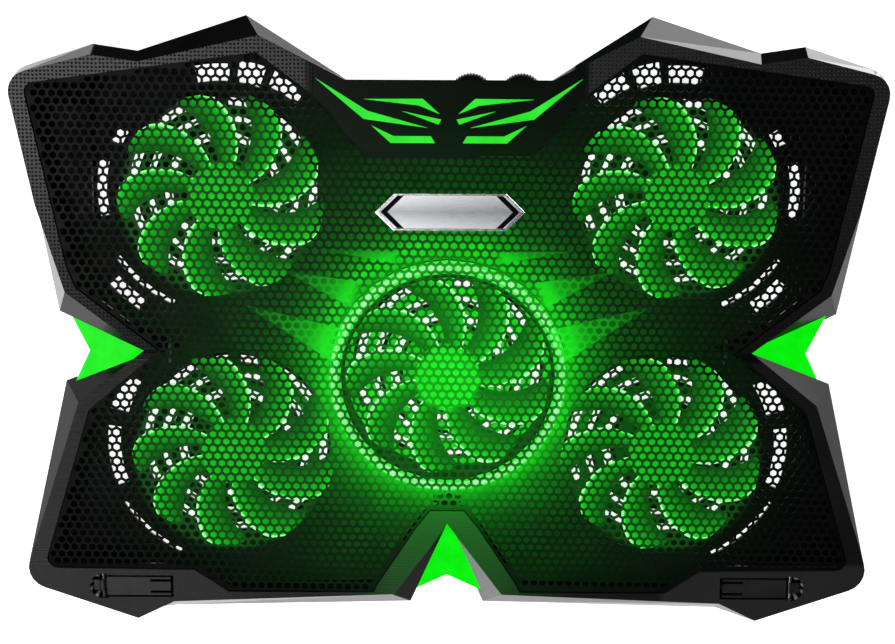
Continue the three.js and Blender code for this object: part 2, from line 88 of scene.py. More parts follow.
def add_studio():
    scene = bpy.context.scene
    scene.view_settings.view_transform = "Standard"
    world = bpy.data.worlds.new("studio")
    world.use_nodes = True
    scene.world = world
    tree = world.node_tree
    background = tree.nodes["Background"]
    coords = tree.nodes.new("ShaderNodeTexCoord")
    split = tree.nodes.new("ShaderNodeSeparateXYZ")
    ramp = tree.nodes.new("ShaderNodeValToRGB")
    tree.links.new(coords.outputs["Generated"], split.inputs[0])
    tree.links.new(split.outputs["Z"], ramp.inputs["Fac"])
    tree.links.new(ramp.outputs["Color"], background.inputs["Color"])
    for element, (place, grey) in zip(ramp.color_ramp.elements, ((0.0, 0.5), (0.7, 0.02))):
        element.position = place
        element.color = (grey, grey, grey, 1)
    background.inputs["Strength"].default_value = 0.6
    add_light("rear_right_box", (0.62, 0.55, 0.26), (0, 0, 0.02), 0.5, 4.5)
    add_light("front_left_box", (-0.5, -0.75, 0.22), (0, 0, 0.02), 0.5, 5)
    add_light("upper_left_box", (-0.42, -0.12, 1.2), (-0.12, 0.05, 0.03), 0.45, 5)


def add_floor():
    mesh = bpy.data.meshes.new("floor")
    half = 6.0
    corners = [(-half, -half, 0), (half, -half, 0), (half, half, 0), (-half, half, 0)]
    mesh.from_pydata(corners, [], [(0, 1, 2, 3)])
    floor = bpy.data.objects.new("floor", mesh)
    bpy.context.scene.collection.objects.link(floor)
    stuff = bpy.data.materials.new("floor_white")
    stuff.use_nodes = True
    shader = stuff.node_tree.nodes["Principled BSDF"]
    shader.inputs["Base Color"].default_value = (0.85, 0.85, 0.85, 1)
    shader.inputs["Roughness"].default_value = 0.9
    shader.inputs["Emission Color"].default_value = (1, 1, 1, 1)
    shader.inputs["Emission Strength"].default_value = 0.9
    mesh.materials.append(stuff)


# ---------------------------------------------------------------- materials
class Finish:
    """A procedural material on the Principled shader, built up from a few node helpers."""

    def __init__(self, name, roughness=0.4, metallic=0.0, specular=0.5):
        self.name = name
        self.material = bpy.data.materials.new(name)
        self.material.use_nodes = True
        self.tree = self.material.node_tree
        self.shader = self.tree.nodes["Principled BSDF"]
        self.shader.inputs["Roughness"].default_value = roughness
        self.shader.inputs["Metallic"].default_value = metallic
        self.shader.inputs["Specular IOR Level"].default_value = specular
        self.coords = self.node("ShaderNodeTexCoord").outputs["Object"]
        split = self.node("ShaderNodeSeparateXYZ")
        self.link(self.coords, split.inputs[0])
        self.x, self.y, self.z = split.outputs

    def node(self, kind, **settings):
        made = self.tree.nodes.new(kind)
        for key, value in settings.items():
            setattr(made, key, value)
        return made

    def link(self, source, target):
        self.tree.links.new(source, target)

    def math(self, operation, *values):
        made = self.node("ShaderNodeMath", operation=operation)
        for socket, value in zip(made.inputs, values):
            if isinstance(value, (int, float)):
                socket.default_value = value
            else:
                self.link(value, socket)
        return made.outputs[0]

    def chain(self, operation, values):
        """Joins the values by one operation, from left to right."""
        total = values[0]
        for value in values[1:]:
            total = self.math(operation, total, value)
        return total

    def times(self, *values):
        return self.chain("MULTIPLY", values)

    def plus(self, *values):
        return self.chain("ADD", values)

    def most(self, *values):
        return self.chain("MAXIMUM", values)

    def minus(self, first, second):
        return self.math("SUBTRACT", first, second)

    def rest_of(self, share):
        return self.minus(1.0, share)

    def range(self, value, low, high, to_low=0.0, to_high=1.0):
        made = self.node("ShaderNodeMapRange")
        self.link(value, made.inputs["Value"])
        limits = (("From Min", low), ("From Max", high), ("To Min", to_low), ("To Max", to_high))
        for key, number in limits:
            made.inputs[key].default_value = number
        return made.outputs[0]

    def zone(self, **limits):
        """1 past the second limit in mm of every axis named, and 0 before the first."""
        return self.times(*(self.range(getattr(self, axis), start * MM, full * MM)
                            for axis, (start, full) in limits.items()))

    def noise(self, size, detail=3.0, stretch=None):
        made = self.node("ShaderNodeTexNoise")
        made.inputs["Scale"].default_value = 1 / size
        made.inputs["Detail"].default_value = detail
        source = self.coords
        if stretch:
            mapping = self.node("ShaderNodeMapping")
            mapping.inputs["Scale"].default_value = stretch
            self.link(source, mapping.inputs["Vector"])
            source = mapping.outputs[0]
        self.link(source, made.inputs["Vector"])
        return made.outputs["Fac"]

    def cells(self, size, randomness=1.0):
        made = self.node("ShaderNodeTexVoronoi")
        made.inputs["Scale"].default_value = 1 / size
        made.inputs["Randomness"].default_value = randomness
        self.link(self.coords, made.inputs["Vector"])
        return made.outputs["Distance"]

    def waves(self, along, pitch):
        return self.math("SINE", self.times(along, math.tau / pitch))

    def ramp(self, value, stops):
        made = self.node("ShaderNodeValToRGB")
        self.link(value, made.inputs["Fac"])
        elements = made.color_ramp.elements
        while len(elements) < len(stops):
            elements.new(0.5)
        for element, (place, colour) in zip(elements, stops):
            element.position = place
            element.color = (*colour, 1)
        return made.outputs["Color"]

    def feed(self, key, value):
        self.link(value, self.shader.inputs[key])
        return self

    def colour(self, value, stops):
        return self.feed("Base Color", self.ramp(value, stops))

    def roughness(self, value, low, high):
        return self.feed("Roughness", self.range(value, 0.3, 0.7, low, high))

    def bump(self, height, depth, strength=1.0):
        made = self.node("ShaderNodeBump")
        made.inputs["Strength"].default_value = strength
        made.inputs["Distance"].default_value = depth
        self.link(height, made.inputs["Height"])
        return self.feed("Normal", made.outputs[0])

    def glow(self, value, stops):
        self.shader.inputs["Emission Strength"].default_value = 1.0
        return self.feed("Emission Color", self.ramp(value, stops))

    def specular(self, level):
        self.shader.inputs["Specular IOR Level"].default_value = level
        return self


def moulded_plastic(name, shade, roughness, grain=0.35 * MM, depth=0.02 * MM):
    finish = Finish(name, roughness)
    patches = finish.noise(22 * MM)
    dark = tuple(value * 0.75 for value in shade)
    light = tuple(value * 1.3 for value in shade)
    finish.colour(patches, [(0.3, dark), (0.7, light)])
    finish.roughness(finish.noise(6 * MM), roughness - 0.06, roughness + 0.08)
    return finish.bump(finish.noise(grain, 2.0), depth)


LEATHER = 0.6  # height of the grain by the stops, as a share of the height of the dots at the rear


def shell_finish():
    """Black frame plastic: dotted at the rear, ribbed at the front, leathery by the stops, else smooth."""
    finish = Finish("shell_plastic", 0.42, specular=0.32)
    add_axes(finish)
    rear = finish.zone(width=(60, 64), y=(-12, -10))
    front = finish.zone(y=(-14, -16))
    by_stop = finish.zone(width=(98, 102), y=(-112, -114))
    level_face = finish.range(facing(finish)["Z"], 0.96, 0.99)
    on_top = finish.times(level_face, finish.zone(z=(27.0, 27.2)))
    dots = finish.times(finish.range(finish.cells(1.75 * MM, 0.15), 0.18, 0.34), rear)
    ribs = finish.times(finish.waves(finish.y, 1.3 * MM), front, finish.rest_of(by_stop), 0.4)
    leather = finish.range(finish.cells(1.25 * MM, 0.2), 0.15, 0.4, 0, LEATHER)
    height = finish.plus(dots, ribs, finish.times(leather, by_stop))
    finish.bump(finish.times(height, on_top), 0.2 * MM, 0.9)
    grain = finish.times(by_stop, finish.range(leather, 0, LEATHER, 0.35, 0.75))
    tone = finish.plus(finish.times(finish.noise(30 * MM), 0.4), grain)
    finish.colour(tone, [(0.1, (0.003, 0.003, 0.0034)), (0.3, (0.006, 0.006, 0.0065)),
                         (1.0, (0.024, 0.024, 0.025))])
    # The side walls get painted sheen and painted shade by the way they face.
    sheen_walls, shaded_walls = wall_sheen_and_shade(finish)
    rough = finish.range(finish.times(finish.most(rear, front), on_top), 0, 1, 0.22, 0.4)
    finish.feed("Roughness", finish.minus(rough, finish.times(sheen_walls, 0.05)))
    dull = finish.times(by_stop, finish.range(leather, LEATHER, 0.2, 0, 0.5))
    bright = finish.plus(finish.times(dots, finish.range(finish.y, 0.0, 100 * MM, 0.15, 1.0)),
                         finish.times(front, finish.rest_of(dull), 0.5))
    shine = finish.times(finish.range(bright, 0, 1, 0.06, 0.46), on_top)
    shine = finish.most(shine, finish.range(on_top, 0, 1, 0.3, 0))
    # Level faces below the top lose their shine: painted shade in the recesses.
    sunk_shade = finish.minus(level_face, on_top)
    shine = finish.most(finish.times(shine, finish.rest_of(finish.most(shaded_walls, sunk_shade))), sheen_walls)
    finish.feed("Specular IOR Level", shine).feed("Coat Weight", sheen_walls)
    finish.shader.inputs["Coat Roughness"].default_value = 0.12
    return finish.glow(shell_glow(finish), GLOW_STOPS)


def shell_glow(finish):
    """The centre fan's light on the frame: on the top by the front notch, and on the brow's edge."""
    at_front = finish.times(falloff(finish, 60 * MM), finish.range(finish.width, 62 * MM, 25 * MM, 0, 0.42),
                            finish.zone(y=(-70, -80), z=(26.5, 27.5)))
    return finish.plus(at_front, finish.times(falloff(finish, 22 * MM), finish.zone(y=(70, 80))))


def wall_sheen_and_shade(finish):
    """Painted sheen and painted shade on the frame's side walls, chosen by the way each wall faces: the sheen
    walls get a glossy coat, the shaded walls no shine; the rest are in between.
    """
    east, north, up = facing(finish)
    wall = finish.range(up, 0.9, 0.8)
    rear = finish.times(wall, finish.range(north, 0.3, 0.4), finish.zone(width=(52, 56), y=(80, 90)))
    slant = finish.math("DIVIDE", east, finish.most(north, 0.01))
    rear_sheen = finish.times(finish.range(slant, 0.17, 0.19), finish.range(slant, 0.46, 0.44), rear)
    far_left = finish.zone(x=(-157.5, -158.5))
    rear_shade = finish.times(finish.range(slant, 0.19, 0.17), finish.rest_of(far_left), rear)
    behind = finish.zone(y=(0, 2))
    left = finish.times(wall, finish.range(east, -0.75, -0.85))
    right = finish.times(wall, finish.range(east, 0.75, 0.85))
    notch = finish.times(wall, finish.zone(width=(32, 30), y=(-88, -90)))
    notch_sheen = finish.times(notch, finish.range(east, -0.2, -0.3, 0, 0.85))
    notch_shade = finish.times(notch, finish.range(east, 0.2, 0.3, 0, 0.9))
    sheen_walls = finish.most(rear_sheen, finish.times(left, behind, 0.8), notch_sheen)
    shaded_walls = finish.most(rear_shade, right, finish.times(left, finish.rest_of(behind)), notch_shade)
    return sheen_walls, shaded_walls


GLOW_STOPS = [  # the light's green, from none to the brightest
    (0.0, (0.0, 0.0, 0.0)), (0.1, (0.001, 0.014, 0.001)), (0.3, (0.003, 0.11, 0.004)),
    (0.6, (0.006, 0.42, 0.008)), (0.88, (0.010, 0.86, 0.014)), (1.0, (0.42, 1.0, 0.44)),
]
RING_RADIUS = 50 * MM  # where the centre fan's light starts
WEDGES = [  # beams of light from the centre ring, right-hand side: root, tip, half width at the root, in mm
    ((24, 33), (60, 36.5), 3.0),
    ((43, 16), (75, 27), 6.5),
    ((50, -8), (94, 11.5), 8.5),
]


def add_axes(finish):
    """Gives a finish the sideways distance from the middle, and the distance from the centre fan's ring."""
    finish.width = finish.math("ABSOLUTE", finish.x)
    finish.reach = finish.minus(distance_from(finish, "centre_shroud"), RING_RADIUS)


def distance_from(finish, node):
    """The distance of a finish's points from a node's upright axis, with the left half folded over."""
    middle = centre_of(node)
    dx = finish.minus(finish.width, middle.x)
    dy = finish.minus(finish.y, middle.y)
    return finish.math("SQRT", finish.plus(finish.times(dx, dx), finish.times(dy, dy)))


def wedge_light(finish):
    """How strongly the beams light a point of a finish."""
    beams = []
    for root, tip, half in WEDGES:
        start, way = Vector(root) * MM, (Vector(tip) - Vector(root)) * MM
        length = way.length
        way = way / length
        dx = finish.minus(finish.width, start.x)
        dy = finish.minus(finish.y, start.y)
        along = finish.plus(finish.times(dx, way.x), finish.times(dy, way.y))
        aside = finish.minus(finish.times(dy, way.x), finish.times(dx, way.y))
        room = finish.range(along, 0, length, half * MM, 0)
        inside = finish.minus(room, finish.math("ABSOLUTE", aside))
        beams.append(finish.times(finish.range(inside, 0, 0.7 * MM), finish.range(along, -3 * MM, 1 * MM),
                                  finish.range(along, 0, length, 1.0, 0.35)))
    return finish.most(*beams)


def falloff(finish, distance):
    """Falls from 1 at the ring to about a third at the distance."""
    return finish.math("EXPONENT", finish.math("DIVIDE", finish.most(finish.reach, 0.0), -distance))


def spread_light(finish, close, wide, distance, cut):
    """Light that spreads from the ring: strong close to it and weak farther out, less its faint end."""
    strong = finish.times(falloff(finish, 8 * MM), close)
    weak = finish.times(falloff(finish, distance), wide)
    return finish.most(finish.minus(finish.plus(strong, weak), cut), 0.0)


def facing(finish):
    """The direction in which the faces of a finish point, as its X, Y and Z parts."""
    normal = finish.node("ShaderNodeSeparateXYZ")
    finish.link(finish.node("ShaderNodeNewGeometry").outputs["Normal"], normal.inputs[0])
    return normal.outputs


def tub_finish():
    """Black tub plastic whose inner floor carries the green light that spreads from the centre fan."""
    finish = moulded_plastic("tub_plastic", (0.010, 0.010, 0.011), 0.45)
    add_axes(finish)
    level_face = finish.range(facing(finish)["Z"], 0.8, 0.9)
    # Up-facing faces of the tub barely shine: painted shade inside the tub, under the mesh.
    finish.feed("Specular IOR Level", finish.range(level_face, 0, 1, 0.4, 0.03))
    light = finish.math("MINIMUM", spread_light(finish, 1.25, 0.5, 60 * MM, 0.05), 0.76)
    mottled = finish.range(finish.noise(14 * MM), 0.3, 0.7, 0.85, 1.1)
    inside = finish.times(level_face, finish.zone(z=(3.6, 4)), finish.zone(z=(12.5, 12)))
    return finish.glow(finish.times(light, mottled, inside), GLOW_STOPS)


def shroud_finish():
    """Black plastic lit green by the light ring round it, less so on the side towards the fan."""
    finish = moulded_plastic("shroud_plastic", (0.004, 0.004, 0.004), 0.5).specular(0.03)
    add_axes(finish)
    return finish.glow(finish.range(finish.reach, -1.6 * MM, 0, 0.17, 0.6), GLOW_STOPS)


def mesh_finish():
    """Black coated steel, lit green from below near the centre fan, over the outer fans and along the beams.
    """
    finish = moulded_plastic("mesh_metal", (0.004, 0.004, 0.0045), 0.42, 0.5 * MM).specular(0.06)
    add_axes(finish)
    centre = distance_from(finish, "motor_base_centre")
    outside = finish.range(centre, 50 * MM, 53 * MM)
    near = finish.times(spread_light(finish, 0.56, 0.23, 48 * MM, 0.02), outside)
    level = finish.plus(near, finish.times(wedge_light(finish), 0.48))
    # Painted light: a faint green glow on the mesh over the outer fans.
    for node in ("motor_base_rear_right", "motor_base_front_right"):
        over = finish.range(distance_from(finish, node), BLADE_TIP, BLADE_TIP - 4 * MM, 0, 0.2)
        level = finish.most(level, over)
    over = finish.ramp(finish.math("DIVIDE", centre, CENTRE_REACH * MM), CENTRE_MESH_LIGHT)
    return finish.glow(finish.math("MINIMUM", finish.most(level, over), 0.82), GLOW_STOPS)


CENTRE_REACH = 60  # in mm, like the distances here
CENTRE_MESH_LIGHT = [  # light on the mesh over the centre fan, by the distance from its axis
    (distance / CENTRE_REACH, (level, level, level)) for distance, level in (
        (0, 0.55), (13.5, 0.55), (16, 0.35), (30, 0.35), (44, 0.27), (48, 0.24), (51, 0.4), (53, 0.46),
        (56, 0.45), (60, 0.0))
]


def lens_finish(name, low, high):
    """Green light that shines through or off a part, slightly cloudy."""
    finish = Finish(name, 0.3, specular=0.12)
    cloud = finish.noise(9 * MM)
    finish.colour(cloud, [(0.3, tuple(Vector(low) * 0.1)), (0.7, tuple(Vector(high) * 0.1))])
    finish.glow(cloud, [(0.3, low), (0.7, high)])
    return finish.bump(finish.noise(0.6 * MM), 0.03 * MM)


def rotor_finish():
    """Green plastic that shines by the glow stored in its mesh."""
    finish = Finish("rotor_plastic", 0.45, specular=0.12)
    glow = finish.node("ShaderNodeAttribute", attribute_name="glow").outputs["Fac"]
    level = finish.times(glow, finish.range(finish.noise(12 * MM), 0.3, 0.7, 0.93, 1.09))
    # The base colour follows the stored glow as well: painted light and shade on the blades.
    finish.colour(level, [(0.0, (0.0, 0.02, 0.0)), (1.0, (0.03, 0.5, 0.05))])
    finish.glow(level, GLOW_STOPS)
    return finish.bump(finish.noise(1.5 * MM), 0.03 * MM)


def brushed_metal(name, low, high, roughness, stretch):
    finish = Finish(name, roughness, 1.0)
    streaks = finish.noise(4 * MM, 4.0, stretch)
    finish.colour(streaks, [(0.3, low), (0.7, high)])
    finish.roughness(streaks, roughness - 0.08, roughness + 0.1)
    return finish.bump(streaks, 0.012 * MM)


def plate_finish():
    """Brushed steel with lengthwise streaks, and a painted reflection: a little darker along the middle of
    the nameplate, lighter towards its long edges.
    """
    finish = Finish("plate_metal", 0.34, 1.0)
    low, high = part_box("nameplate")
    middle = (low.y + high.y) / 2
    aside = finish.math("ABSOLUTE", finish.minus(finish.y, middle))
    streaks = finish.noise(4 * MM, 4.0, (1, 40, 1))
    # Painted reflection: the colour lightens from the plate's middle line out to its long edges; the streaks
    # are the brushing.
    tone = finish.plus(finish.range(aside, 0, high.y - middle, 0, 0.55), finish.times(streaks, 0.5))
    finish.colour(tone, [(0.15, (0.34, 0.35, 0.38)), (0.5, (0.66, 0.67, 0.70)), (0.8, (0.92, 0.92, 0.94))])
    finish.roughness(streaks, 0.26, 0.44)
    return finish.bump(streaks, 0.012 * MM)


def board_finish():
    finish = Finish("circuit_board", 0.45)
    finish.colour(finish.cells(2.4 * MM), [(0.2, (0.006, 0.05, 0.016)), (0.5, (0.012, 0.11, 0.035))])
    return finish.bump(finish.cells(1.2 * MM), 0.05 * MM)


PLASTICS = {  # colour and roughness
    "cover_plastic": ((0.014, 0.014, 0.015), 0.42),
    "knob_plastic": ((0.01, 0.01, 0.011), 0.25),
    "stop_plastic": ((0.009, 0.009, 0.01), 0.4),
    # The thumb ribs are light grey: a painted highlight on black frame plastic.
    "rib_highlight": ((0.26, 0.26, 0.26), 0.3),
    "leg_plastic": ((0.014, 0.014, 0.015), 0.4),
    "motor_plastic": ((0.02, 0.02, 0.02), 0.5),
    "switch_plastic": ((0.02, 0.02, 0.024), 0.4),
    "rubber_feet": ((0.012, 0.012, 0.012), 0.8, 0.8 * MM, 0.05 * MM),  # and the grain's size and depth
}
METALS = {  # the darker and the lighter colour, roughness, and how the streaks are squeezed along each axis
    "plate_bright": ((0.75, 0.76, 0.78), (0.95, 0.95, 0.97), 0.22, (1, 30, 1)),
    "copper": ((0.5, 0.2, 0.07), (0.75, 0.33, 0.13), 0.35, (1, 1, 40)),
    "steel_pins": ((0.4, 0.41, 0.42), (0.6, 0.61, 0.62), 0.3, (1, 30, 1)),
    "port_metal": ((0.5, 0.51, 0.52), (0.66, 0.67, 0.68), 0.3, (30, 1, 1)),
    "gold": ((0.7, 0.45, 0.12), (0.9, 0.62, 0.2), 0.25, (1, 30, 1)),
}
LENSES = {  # the darker and the lighter colour of the light
    "green_lens": ((0.001, 0.78, 0.002), (0.004, 0.9, 0.006)),
    "ring_lens": ((0.03, 0.8, 0.04), (0.06, 0.9, 0.07)),
    "ring_glow": ((0.16, 0.85, 0.17), (0.42, 0.95, 0.44)),
    # The brow's stripes shine with an even green glow of their own.
    "stripe_glow": ((0.02, 0.7, 0.02), (0.036, 0.82, 0.036)),
}


def make_finishes():
    """Every material, by its name."""
    made = [shell_finish(), tub_finish(), shroud_finish(), mesh_finish(), rotor_finish(), plate_finish(),
            board_finish(), moulded_plastic("plate_black", (0.003, 0.003, 0.005), 0.5).specular(0.03)]
    for make, table in ((moulded_plastic, PLASTICS), (brushed_metal, METALS), (lens_finish, LENSES)):
        made += [make(name, *values) for name, values in table.items()]
    return {finish.name: finish.material for finish in made}


# ---------------------------------------------------------------- mesh helpers
MERGE = 0.002 * MM


def add_piece(name, mesh, look, body="base", slot=None, smooth=False):
    piece = bpy.data.objects.new(name, mesh)
    bpy.context.scene.collection.objects.link(piece)
    mesh.materials.clear()
    mesh.materials.append(FINISHES[look])
    mesh.polygons.foreach_set("use_smooth", [smooth] * len(mesh.polygons))
    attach(piece, body)
    slot or look
    return piece


def mesh_from(name, work):
    bmesh.ops.recalc_face_normals(work, faces=work.faces)
    mesh = bpy.data.meshes.new(name)
    work.to_mesh(mesh)
    work.free()
    return mesh


def apply_modifiers(piece):
    bpy.context.view_layer.update()
    shaped = piece.evaluated_get(bpy.context.evaluated_depsgraph_get())
    result = bpy.data.meshes.new_from_object(shaped)
    piece.modifiers.clear()
    piece.data = result


def take_in(work, mesh):
    """Adds a mesh to a bmesh, and deletes the mesh."""
    work.from_mesh(mesh)
    bpy.data.meshes.remove(mesh)


def around(centre, radius, share, height):
    """The point a share of a turn round a level circle."""
    angle = math.tau * share
    return (centre[0] + radius * math.cos(angle), centre[1] + radius * math.sin(angle), height)


def soften(piece, width, segments=2, angle=30.0):
    """Rounds every edge sharper than the angle."""
    bevel = piece.modifiers.new("bevel", "BEVEL")
    bevel.width = width
    bevel.segments = segments
    bevel.limit_method = "ANGLE"
    bevel.angle_limit = math.radians(angle)
    bevel.use_clamp_overlap = True
    apply_modifiers(piece)


def prism_mesh(name, outline, low, high):
    work = bmesh.new()
    bottom = work.faces.new([work.verts.new((x, y, low)) for x, y in outline])
    grown = bmesh.ops.extrude_face_region(work, geom=[bottom])["geom"]
    lifted = [item for item in grown if isinstance(item, bmesh.types.BMVert)]
    bmesh.ops.translate(work, verts=lifted, vec=(0, 0, high - low))
    return mesh_from(name, work)


def turned_mesh(name, profile, centre, steps=64):
    """Turns a profile of (radius, height) points round an upright axis; it is closed, or ends on the axis."""
    work = bmesh.new()
    rings = []
    for radius, height in profile:
        count = 1 if radius == 0 else steps
        rings.append([work.verts.new(around(centre, radius, i / steps, height)) for i in range(count)])
    closed = profile[0][0] != 0
    pairs = list(zip(rings, rings[1:])) + ([(rings[-1], rings[0])] if closed else [])
    for lower, upper in pairs:
        for i in range(steps):
            j = (i + 1) % steps
            corners = [ring[k % len(ring)] for ring, k in ((lower, i), (lower, j), (upper, j), (upper, i))]
            work.faces.new(list(dict.fromkeys(corners)))
    return mesh_from(name, work)


def looped_mesh(name, loops):
    """Joins each closed loop of points to the next one, and the last to the first."""
    work = bmesh.new()
    rings = [[work.verts.new(point) for point in loop] for loop in loops]
    for lower, upper in zip(rings, rings[1:] + rings[:1]):
        for i in range(len(lower)):
            j = (i + 1) % len(lower)
            work.faces.new([lower[i], lower[j], upper[j], upper[i]])
    return mesh_from(name, work)


def boxes_mesh(name, boxes):
    """One mesh of several separate boxes, each given by its lowest and highest corner."""
    work = bmesh.new()
    for low, high in boxes:
        size = Vector(high) - Vector(low)
        made = bmesh.ops.create_cube(work, size=1.0)["verts"]
        bmesh.ops.scale(work, verts=made, vec=size)
        bmesh.ops.translate(work, verts=made, vec=(Vector(low) + Vector(high)) / 2)
    return mesh_from(name, work)


def cad_copy(node, name):
    """A copy of a CAD node's mesh with its flat faces whole again, to add detail to."""
    work = bmesh.new()
    work.from_mesh(NODES[node].data)
    bmesh.ops.remove_doubles(work, verts=work.verts, dist=MERGE)
    bmesh.ops.dissolve_limit(work, angle_limit=math.radians(1.0), verts=work.verts, edges=work.edges)
    return mesh_from(name, work)


def centre_of(node):
    low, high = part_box(node)
    return (low + high) / 2


def round_profile(points, radius, steps=4):
    """Rounds the corners of a profile."""
    rounded = []
    for i, point in enumerate(points):
        before, here, after = Vector(points[i - 1]), Vector(point), Vector(points[(i + 1) % len(points)])
        if here.x == 0:
            rounded.append(tuple(here))
            continue
        back, ahead = before - here, after - here
        cut = min(radius, back.length * 0.45, ahead.length * 0.45)
        start, end = here + back.normalized() * cut, here + ahead.normalized() * cut
        for step in range(steps + 1):
            t = step / steps
            rounded.append(tuple(start * (1 - t) ** 2 + here * 2 * t * (1 - t) + end * t ** 2))
    return rounded


# ---------------------------------------------------------------- perforated mesh
PITCH = 4.03 * MM
HOLE = 2.85 * MM  # across the flats
RIM = 0.7 * MM  # plain strip along the sheet's edge
LATTICE_TURN = math.radians(-0.8)


def outline_of(node):
    """The outline of a flat CAD plate, as an ordered list of (x, y) points."""
    work = bmesh.new()
    work.from_mesh(NODES[node].data)
    bmesh.ops.remove_doubles(work, verts=work.verts, dist=MERGE)
    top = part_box(node)[1].z
    flat = [face for face in work.faces if all(abs(v.co.z - top) < 0.01 * MM for v in face.verts)]
    following = {loop.vert: loop.link_loop_next.vert for face in flat for loop in face.loops
                 if sum(near in flat for near in loop.edge.link_faces) == 1}
    ring = [next(iter(following))]
    while following[ring[-1]] is not ring[0]:
        ring.append(following[ring[-1]])
    points = [vert.co.xy for vert in ring]
    work.free()
    return points


def inside_outline(points, outline):
    """Which points lie inside the outline, by counting crossings."""
    inside = np.zeros(len(points), bool)
    for a, b in zip(outline, outline[1:] + outline[:1]):
        straddles = (a.y > points[:, 1]) != (b.y > points[:, 1])
        if a.y != b.y:
            cross = a.x + (points[:, 1] - a.y) * (b.x - a.x) / (b.y - a.y)
            inside ^= straddles & (points[:, 0] < cross)
    return inside


def distance_to_outline(points, outline):
    nearest = np.full(len(points), np.inf)
    for a, b in zip(outline, outline[1:] + outline[:1]):
        a, b = np.array(a), np.array(b)
        along = np.clip(((points - a) @ (b - a)) / ((b - a) @ (b - a)), 0, 1)
        nearest = np.minimum(nearest, np.linalg.norm(points - (a + along[:, None] * (b - a)), axis=1))
    return nearest


def inset_outline(points, distance):
    """An anticlockwise outline moved inwards."""
    moved = []
    for i, here in enumerate(points):
        before = (here - points[i - 1]).normalized()
        after = (points[(i + 1) % len(points)] - here).normalized()
        step = distance / (1 + before.dot(after))
        moved.append(here + Vector((-(before.y + after.y), before.x + after.x)) * step)
    return moved


def hexagon(centre, across):
    """A hexagon with a corner at the top, as six corners anticlockwise."""
    corners = (math.radians(30 + 60 * k) for k in range(6))
    return [(centre[0] + across / math.sqrt(3) * math.cos(a), centre[1] + across / math.sqrt(3) * math.sin(a))
            for a in corners]


def lattice_points(reach):
    row = PITCH * math.sqrt(3) / 2
    columns, rows = int(reach / PITCH) + 2, int(reach / row) + 2
    return np.array([((i + 0.5 * (j % 2)) * PITCH, j * row) for j in range(-rows, rows + 1)
                     for i in range(-columns, columns + 1)])


def outer_sides(cells):
    """The sides of the whole cells that no two cells share."""
    sides = {}
    for cell in cells:
        corners = hexagon(cell, PITCH)
        keys = [(round(x * 1e5), round(y * 1e5)) for x, y in corners]
        for k in range(6):
            n = (k + 1) % 6
            if (keys[n], keys[k]) in sides:
                del sides[keys[n], keys[k]]
            else:
                sides[keys[k], keys[n]] = (corners[k], corners[n])
    return sides.values()


def border_faces(cells, holes, outline):
    """Triangles between the whole cells and the outline, with the holes there cut out of them."""
    edges = []
    points = []

    def add_loop(loop):
        first = len(points)
        points.extend(Vector(point) for point in loop)
        edges.extend((first + i, first + (i + 1) % len(loop)) for i in range(len(loop)))

    rim = inset_outline(outline, RIM)
    add_loop(outline)
    add_loop(rim)
    for hole in holes:
        add_loop(hexagon(hole, HOLE))
    for start, end in outer_sides(cells):
        edges.append((len(points), len(points) + 1))
        points.extend((Vector(start), Vector(end)))
    found, _, triangles, *_ = delaunay_2d_cdt(points, edges, [], 0, 1e-6)
    middles = np.array([sum((found[i] for i in t), Vector((0, 0))) / len(t) for t in triangles])
    keep = inside_outline(middles, outline) & ~in_hexagons(middles, cells, PITCH)
    keep &= ~(in_hexagons(middles, holes, HOLE) & inside_outline(middles, rim))
    return [tuple(found[i].copy() for i in t) for t, wanted in zip(triangles, keep) if wanted]


def in_hexagons(points, centres, across):
    """Which points lie in one of the hexagons."""
    inside = np.zeros(len(points), bool)
    for centre in centres:
        near = np.abs(points - centre).max(axis=1) < across
        x, y = np.abs(points[near] - centre).T
        inside[near] |= (x < across / 2) & (x / 2 + y * math.sqrt(3) / 2 < across / 2)
    return inside


def cell_rings(cells):
    """Four-sided faces between each cell's outline and its hole."""
    verts, faces = [], []
    for cell in cells:
        first = len(verts)
        verts += hexagon(cell, PITCH) + hexagon(cell, HOLE)
        for k in range(6):
            n = (k + 1) % 6
            faces.append((first + k, first + n, first + 6 + n, first + 6 + k))
    return verts, faces


def merge_flat(verts, faces, height):
    """Level faces with their shared corners made one."""
    flat = bpy.data.meshes.new("flat")
    flat.from_pydata([(*vert, height) for vert in verts], [], faces)
    work = bmesh.new()
    take_in(work, flat)
    bmesh.ops.remove_doubles(work, verts=work.verts, dist=MERGE)
    bmesh.ops.dissolve_degenerate(work, dist=MERGE, edges=work.edges)
    work.verts.index_update()
    merged = [(v.co.x, v.co.y) for v in work.verts]
    rings = [tuple(v.index for v in face.verts) for face in work.faces]
    work.free()
    return merged, rings


def perforated_sheet():
    """The mesh panel: whole cells, and along its edge a border with the holes that still fit."""
    turn = Matrix.Rotation(-LATTICE_TURN, 2)
    outline = [turn @ point for point in outline_of("mesh_panel")]
    lattice = lattice_points(max(point.length for point in outline))
    inside = inside_outline(lattice, outline)
    room = distance_to_outline(lattice, outline)
    whole = inside & (room > PITCH / math.sqrt(3) + RIM / 2)
    cells, holes = lattice[whole], lattice[inside & ~whole & (room > RIM + 0.5 * MM)]
    verts, faces = cell_rings(cells)
    for triangle in border_faces(cells, holes, outline):
        first = len(verts)
        verts += [tuple(point) for point in triangle]
        faces.append((first, first + 1, first + 2))
    low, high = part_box("mesh_panel")
    back = turn.inverted()
    verts, faces = merge_flat([back @ Vector(vert) for vert in verts], faces, high.z)
    return sheet_mesh("mesh_sheet", verts, faces, low.z, high.z)


